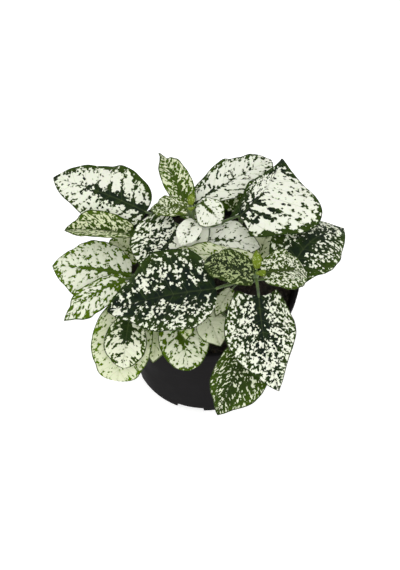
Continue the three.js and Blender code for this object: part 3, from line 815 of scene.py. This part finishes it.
def soil_height(x, y):
    swell = np.sin(SWELL_X["pace"] * x + SWELL_X["start"]) * np.cos(SWELL_Y["pace"] * y + SWELL_Y["start"])
    lumps = np.sin(LUMPS_ACROSS["x"] * x + LUMPS_ACROSS["y"] * y)
    lumps += np.cos(LUMPS_ALONG["y"] * y + LUMPS_ALONG["x"] * x + LUMPS_ALONG["start"])
    fine = np.sin(FINE_ACROSS["x"] * x + FINE_ACROSS["y"] * y)
    fine *= FINE_LUMP * np.cos(FINE_ALONG["y"] * y + FINE_ALONG["x"] * x)
    fine += GRIT * np.sin(GRIT_PACE["x"] * x) * np.sin(GRIT_PACE["y"] * y)
    return float(SOIL_LEVEL - SOIL_SINK + SOIL_LUMP * (swell + LUMP_SHARE * lumps) + fine)


def soil_body(outer):
    """Vertices and faces of the uneven surface, filled down to the pot's floor."""
    vertices, faces = [(0, 0, soil_height(0, 0))], []
    for i in range(1, SOIL_RINGS + 1):
        for x, y, _ in ring(outer * i / SOIL_RINGS, 0, SOIL_SEGMENTS):
            vertices.append((x, y, soil_height(x, y)))
    bottom = FLOOR_THICKNESS + SOIL_GAP
    low = len(vertices)
    vertices += ring(wall_radius(bottom) - WALL - SOIL_GAP, bottom, SOIL_SEGMENTS)
    for k in range(SOIL_SEGMENTS):
        n = (k + 1) % SOIL_SEGMENTS
        faces.append((0, 1 + k, 1 + n))
        for p in range(1, low, SOIL_SEGMENTS):
            q = p + SOIL_SEGMENTS
            faces.append((p + k, q + k, q + n, p + n))
    faces.append(tuple(low + k for k in range(SOIL_SEGMENTS))[::-1])
    return vertices, faces


def soil_piece(material):
    """Soil with crumbs and bark chips lying on it, clear of the stems."""
    outer = wall_radius(SOIL_EDGE_LEVEL) - WALL - SOIL_GAP
    parts = [soil_body(outer)]
    draw = np.random.default_rng(SOIL_SEED)
    for _ in range(CRUMB_COUNT):
        radius = outer * CRUMB_REACH * math.sqrt(draw.uniform(0, 1))
        angle = draw.uniform(0, 2 * math.pi)
        size = CRUMB_SMALLEST + CRUMB_SPREAD * draw.uniform(0, 1) ** 3
        x, y = radius * math.cos(angle), radius * math.sin(angle)
        nearest = min(math.hypot(x - s["foot"][0], y - s["foot"][1]) for s in STEMS.values())
        if nearest >= CLEAR_OF_STEM:
            parts.append(crumb(draw, (x, y, soil_height(x, y) + CRUMB_LIFT * size), size))
    return new_object("soil_surface", *joined(parts), material)


def crumb(draw, centre, size):
    """A lumpy little body: a stretched six-sided form with jittered corners."""
    stretch = draw.uniform(*CRUMB_STRETCH, 3)
    stretch[2] *= CRUMB_FLATNESS
    vertices = [np.array([0, 0, -1.0]), np.array([0, 0, 1.0])]
    for height, turn in ((-CRUMB_SHOULDER, 0), (CRUMB_SHOULDER, 0.5)):
        for k in range(CRUMB_SIDES):
            angle = 2 * math.pi * (k + turn) / CRUMB_SIDES
            x, y = CRUMB_GIRTH * math.cos(angle), CRUMB_GIRTH * math.sin(angle)
            vertices.append(np.array([x, y, height]))
    vertices = [np.array(centre) + size * v * stretch * draw.uniform(*CRUMB_JITTER) for v in vertices]
    faces = []
    for k in range(CRUMB_SIDES):
        n = (k + 1) % CRUMB_SIDES
        lower, lower_next, upper, upper_next = 2 + k, 2 + n, 2 + CRUMB_SIDES + k, 2 + CRUMB_SIDES + n
        faces += [(0, lower_next, lower), (1, upper, upper_next)]
        faces += [(lower, lower_next, upper), (lower_next, upper_next, upper)]
    return vertices, faces


class Nodes:
    """A small helper that adds shader nodes and links them."""

    def __init__(self, name):
        self.material = bpy.data.materials.new(name)
        self.material.use_nodes = True
        self.tree = self.material.node_tree
        self.tree.nodes.clear()
        self.shader = self.add("ShaderNodeBsdfPrincipled")
        out = self.add("ShaderNodeOutputMaterial")
        self.put(out.inputs["Surface"], self.shader.outputs["BSDF"])

    def add(self, kind, **settings):
        node = self.tree.nodes.new(kind)
        for key, value in settings.items():
            setattr(node, key, value)
        return node

    def put(self, socket, value):
        """Link another node's output to a socket, or set the socket to a plain value."""
        if isinstance(value, bpy.types.NodeSocket):
            self.tree.links.new(value, socket)
        else:
            socket.default_value = value

    def fill(self, node, values):
        """Put values on a node's sockets, which are given by name or number."""
        for name, value in values.items():
            self.put(node.inputs[name], value)
        return node.outputs

    def shade(self, **values):
        """Fill the shader's sockets. A name's words are joined by underscores here."""
        self.fill(self.shader, {name.replace("_", " "): value for name, value in values.items()})

    def value(self, name):
        return self.add("ShaderNodeAttribute", attribute_name=name).outputs["Fac"]

    def uv(self, name):
        return self.add("ShaderNodeUVMap", uv_map=name).outputs["UV"]

    def place(self):
        return self.add("ShaderNodeTexCoord").outputs["Object"]

    def split(self, vector):
        return self.fill(self.add("ShaderNodeSeparateXYZ"), {"Vector": vector})

    def math(self, operation, *values):
        return self.fill(self.add("ShaderNodeMath", operation=operation), dict(enumerate(values)))[0]

    def noise(self, vector, scale, detail=2.0, roughness=0.5, distortion=0.0):
        settings = {"Scale": scale, "Detail": detail, "Roughness": roughness, "Distortion": distortion}
        return self.fill(self.add("ShaderNodeTexNoise"), {"Vector": vector, **settings})["Fac"]

    def cells(self, vector, scale):
        return self.fill(self.add("ShaderNodeTexVoronoi"), {"Vector": vector, "Scale": scale})

    def mosaic(self, vector, scale, share):
        """Places drawn towards the middles of small cells, so that specks get angular edges."""
        middles = self.cells(vector, scale)["Position"]
        blend = self.add("ShaderNodeMix", data_type="VECTOR")
        return self.fill(blend, {0: share, 4: vector, 5: middles})[1]

    def ramp(self, value, low, high, start=0.0, end=1.0):
        node = self.add("ShaderNodeMapRange", interpolation_type="SMOOTHSTEP")
        return self.fill(node, dict(enumerate((value, low, high, start, end))))["Result"]

    def mix(self, share, first, second):
        return self.fill(self.add("ShaderNodeMix", data_type="RGBA"), {0: share, 6: first, 7: second})[2]

    def bump(self, height, strength, distance):
        sockets = {"Height": height, "Strength": strength, "Distance": distance}
        return self.fill(self.add("ShaderNodeBump"), sockets)["Normal"]


def linear(red, green, blue):
    """A colour as the eye reads it, from 0 to 255, in the renderer's linear light."""
    parts = [c / 255 for c in (red, green, blue)]
    return (*(c / 12.92 if c < 0.04045 else ((c + 0.055) / 1.055) ** 2.4 for c in parts), 1.0)


DARK_GREEN = linear(20, 30, 24)
SPECK_GREEN = linear(14, 22, 3)
YOUNG_GREEN = linear(80, 108, 4)
WHITE = linear(224, 226, 214)
CREAM = linear(196, 202, 152)
UNDER_GREEN = linear(136, 152, 96)
HALO_GREEN = linear(120, 150, 20)
FRESH_GREEN = linear(124, 138, 48)
STEM_DARK = linear(46, 64, 26)
STEM_GREEN = linear(92, 116, 48)
STEM_BARK = linear(92, 74, 52)
CHARCOAL = linear(26, 25, 26)
DUST = linear(36, 34, 33)
SCUFF = linear(56, 54, 52)
SCUFF_DEPTH = 0.3
PEAT = linear(16, 12, 9)
HUMUS = linear(44, 34, 26)
BARK_CHIP = linear(66, 52, 40)

# Leaf surface: the share that each size of noise has in the specks, how far a leaf's values move their
# level, and how much of its colour each vein, midrib, margin, halo and underside takes on
WIDE_SHARE = 0.42
MIDDLE_SHARE = 0.45
FINE_SHARE = 0.13
BLOB_SCALE = 0.55
BLOB_SHARE = 0.16
BLOB_MIDDLE = 0.45
LEVEL_MIDDLE = 0.5
LEVEL_SPREAD = 0.36
HALO_SHARE = 0.9
HALO_TINT = 0.22
HALO_TINT_BY_TONE = 0.25
VEIN_ON_PALE = 0.24
VEIN_ON_GREEN = 0.1
VEIN_DEPTH = 0.5
RIB_SHARE = 0.4
RIB_TINT = 0.3
MARGIN_TINT = 0.4
UNDER_SHARE = 0.35
FINE_GLOSS = 0.5


def speck_field(n, specks):
    """Noise of three sizes and blobs, drawn on small cells, and its finest part by itself."""
    mosaic = n.mosaic(specks, scale=1.7, share=0.75)
    wide = n.noise(mosaic, scale=0.3, detail=1.0, distortion=0.4)
    middle = n.noise(mosaic, scale=0.7, detail=0.5, distortion=0.3)
    fine = n.noise(mosaic, scale=1.8, detail=1.0)
    field = n.math("MULTIPLY_ADD", wide, WIDE_SHARE, n.math("MULTIPLY", middle, MIDDLE_SHARE))
    field = n.math("MULTIPLY_ADD", fine, FINE_SHARE, field)
    blobs = n.math("SUBTRACT", BLOB_MIDDLE, n.cells(mosaic, BLOB_SCALE)["Distance"])
    return n.math("MULTIPLY_ADD", blobs, BLOB_SHARE, field), fine


def side_veins(n):
    """Fine lines along the side veins, which end short of the margin."""
    across, phase, _ = n.split(n.uv("veins"))
    line = n.ramp(n.math("PINGPONG", phase, 0.5), low=0.0, high=0.05, start=1.0, end=0.0)
    return n.math("MULTIPLY", line, n.ramp(across, low=0.75, high=1.0, start=1.0, end=0.0))


def leaf_material():
    """Green and cream in irregular specks along the side veins, with darker midrib, veins and margin."""
    n = Nodes("leaf_surface")
    specks, tone, vein = n.uv("specks"), n.value("tone"), side_veins(n)
    field, fine = speck_field(n, specks)
    darker = n.math("SUBTRACT", n.value("dark"), LEVEL_MIDDLE)
    gap = n.math("SUBTRACT", n.math("MULTIPLY_ADD", darker, LEVEL_SPREAD, LEVEL_MIDDLE), field)
    green = n.ramp(gap, low=-0.008, high=0.012)
    halo = n.ramp(gap, low=-0.055, high=0.0)
    old_green = n.mix(n.ramp(gap, low=0.0, high=0.07), SPECK_GREEN, DARK_GREEN)
    mottle = n.ramp(n.noise(specks, scale=0.25, detail=3.0, roughness=0.6), low=0.4, high=0.75, end=0.14)
    deep = n.mix(mottle, n.mix(tone, old_green, YOUNG_GREEN), YOUNG_GREEN)
    pale = n.mix(n.value("dull"), n.mix(n.value("cream"), WHITE, CREAM), UNDER_GREEN)
    tinted = n.mix(n.math("MULTIPLY_ADD", tone, HALO_TINT_BY_TONE, HALO_TINT), pale, HALO_GREEN)
    pale = n.mix(n.math("MULTIPLY", halo, HALO_SHARE), pale, tinted)
    pale = n.mix(n.math("MULTIPLY", vein, VEIN_ON_PALE), pale, YOUNG_GREEN)
    deep = n.mix(n.math("MULTIPLY", vein, VEIN_ON_GREEN), deep, UNDER_GREEN)
    colour = n.mix(green, pale, deep)
    rib_green = n.mix(RIB_TINT, deep, UNDER_GREEN)
    colour = n.mix(n.math("MULTIPLY", n.value("rib"), RIB_SHARE), colour, rib_green)
    margin = n.ramp(n.value("margin"), low=0.2, high=0.6, end=0.9)
    colour = n.mix(margin, colour, n.mix(MARGIN_TINT, old_green, deep))
    colour = n.mix(n.value("fresh"), colour, FRESH_GREEN)
    colour = n.mix(n.value("under"), colour, n.mix(UNDER_SHARE, colour, UNDER_GREEN))
    gloss = n.math("ADD", green, n.math("MULTIPLY", fine, FINE_GLOSS))
    grain = n.noise(specks, scale=1.6, detail=3.0, roughness=0.6)
    height = n.math("SUBTRACT", grain, n.math("MULTIPLY", vein, VEIN_DEPTH))
    n.shade(
        Base_Color=colour, Roughness=n.ramp(gloss, low=0.2, high=1.3, start=0.56, end=0.44),
        Specular_IOR_Level=0.03, Subsurface_Weight=0.3, Subsurface_Radius=(0.8, 1.0, 0.6),
        Subsurface_Scale=0.0004, Normal=n.bump(height, strength=0.25, distance=0.0005),
    )
    return n.material


def stem_material():
    """Green skin in two shades, turning to bark near the soil."""
    n = Nodes("stem_skin")
    place = n.place()
    patch = n.noise(place, scale=160.0, detail=3.0, roughness=0.6)
    fine = n.noise(place, scale=900.0)
    old = n.ramp(n.split(place)["Z"], low=0.075, high=0.1, start=0.6, end=0.0)
    green = n.mix(n.ramp(patch, low=0.3, high=0.7), STEM_DARK, STEM_GREEN)
    n.shade(
        Base_Color=n.mix(old, green, STEM_BARK), Sheen_Weight=0.15,
        Roughness=n.ramp(fine, low=0.3, high=0.7, start=0.42, end=0.6),
        Normal=n.bump(fine, strength=0.3, distance=0.0003),
    )
    return n.material


def pot_material():
    """Charcoal moulded plastic with a faint grain, dust in patches and fine scuffs."""
    n = Nodes("pot_plastic")
    place = n.place()
    dust = n.noise(place, scale=28.0, detail=4.0, roughness=0.65)
    grain = n.noise(place, scale=1400.0, roughness=0.6)
    stretched = n.fill(n.add("ShaderNodeMapping"), {"Vector": place, "Scale": (60, 60, 900)})["Vector"]
    scuff = n.noise(stretched, scale=1.0, roughness=0.6)
    colour = n.mix(n.ramp(dust, low=0.45, high=0.75, end=0.3), CHARCOAL, DUST)
    worn = n.math("MULTIPLY_ADD", scuff, SCUFF_DEPTH, dust)
    n.shade(
        Base_Color=n.mix(n.ramp(scuff, low=0.6, high=0.75, end=0.15), colour, SCUFF),
        Specular_IOR_Level=0.003, Roughness=n.ramp(worn, low=0.4, high=0.95, start=0.36, end=0.56),
        Normal=n.bump(n.math("MULTIPLY_ADD", scuff, SCUFF_DEPTH, grain), strength=0.12, distance=0.0003),
    )
    return n.material


def soil_material():
    """Dark peat with lighter bark chips."""
    n = Nodes("potting_soil")
    place = n.place()
    lumps = n.noise(place, scale=260.0, detail=4.0, roughness=0.7)
    chips = n.cells(place, scale=420.0)["Distance"]
    colour = n.mix(n.ramp(lumps, low=0.3, high=0.7), PEAT, HUMUS)
    n.shade(
        Base_Color=n.mix(n.ramp(chips, low=0.5, high=0.9, end=0.4), colour, BARK_CHIP),
        Roughness=n.ramp(lumps, low=0.3, high=0.7, start=0.8, end=0.98),
        Normal=n.bump(n.math("ADD", lumps, chips), strength=0.7, distance=0.001),
    )
    return n.material


def floor_material():
    n = Nodes("pale_floor")
    darker, lighter = ((grey, grey, grey, 1) for grey in FLOOR_GREYS)
    colour = n.mix(n.noise(n.place(), scale=3.0), darker, lighter)
    n.shade(Base_Color=colour, Roughness=0.8, Emission_Color=(1, 1, 1, 1), Emission_Strength=0.5)
    return n.material


def make_camera():
    tilt = math.radians(CAMERA_ELEVATION)
    data = bpy.data.cameras.new("camera")
    data.lens = CAMERA_LENS
    data.sensor_width = CAMERA_SENSOR
    data.clip_start, data.clip_end = CAMERA_CLIP
    camera = bpy.data.objects.new("camera", data)
    back = Vector((0, -math.cos(tilt), math.sin(tilt)))
    camera.location = (Vector(CAMERA_AIM) + back * CAMERA_DISTANCE) * MM
    camera.rotation_euler = (math.pi / 2 - tilt, 0, 0)
    bpy.context.scene.collection.objects.link(camera)
    bpy.context.scene.camera = camera


def area_light(name, place, size, power):
    data = bpy.data.lights.new(name, "AREA")
    data.shape = "DISK"
    data.size = size
    data.energy = power
    light = bpy.data.objects.new(name, data)
    light.location = place
    aim = Vector(LIGHT_AIM) - Vector(place)
    light.rotation_euler = aim.to_track_quat("-Z", "Y").to_euler()
    bpy.context.scene.collection.objects.link(light)


def make_floor():
    half = FLOOR_HALF / MM
    corners = [(-half, -half, 0), (half, -half, 0), (half, half, 0), (-half, half, 0)]
    floor = new_object("floor", corners, [(0, 1, 2, 3)], floor_material(), smooth=False)


def make_lights():
    world = bpy.data.worlds.new("studio")
    world.use_nodes = True
    sky = world.node_tree.nodes["Background"]
    sky.inputs["Color"].default_value = (1, 1, 1, 1)
    sky.inputs["Strength"].default_value = SKY_STRENGTH
    bpy.context.scene.world = world
    area_light("key", place=(-0.3, -0.7, 1.6), size=1.6, power=8)
    area_light("fill", place=(0.5, -1.3, 1.0), size=1.4, power=4)
    bpy.context.scene.view_settings.view_transform = "Standard"


def build_plant():
    leaf_skin, stem_skin = leaf_material(), stem_material()
    for name in STEMS:
        piece = stem_piece(name, stem_skin)
        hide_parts("leafy_stem_" + name)
        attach(piece, "root")
    for number, leaf in enumerate(LEAVES):
        piece = blade_piece(leaf, number, leaf_skin)
        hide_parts("leafy_stem_" + leaf["stem"])
        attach(piece, "root")


def build_pot():
    for piece, node, finish in (
        (pot_piece(pot_material()), "pot", "pot_plastic"),
        (soil_piece(soil_material()), "soil", "potting_soil"),
    ):
        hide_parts(node)
        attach(piece, "root")


make_camera()
make_floor()
make_lights()
build_pot()
build_plant()
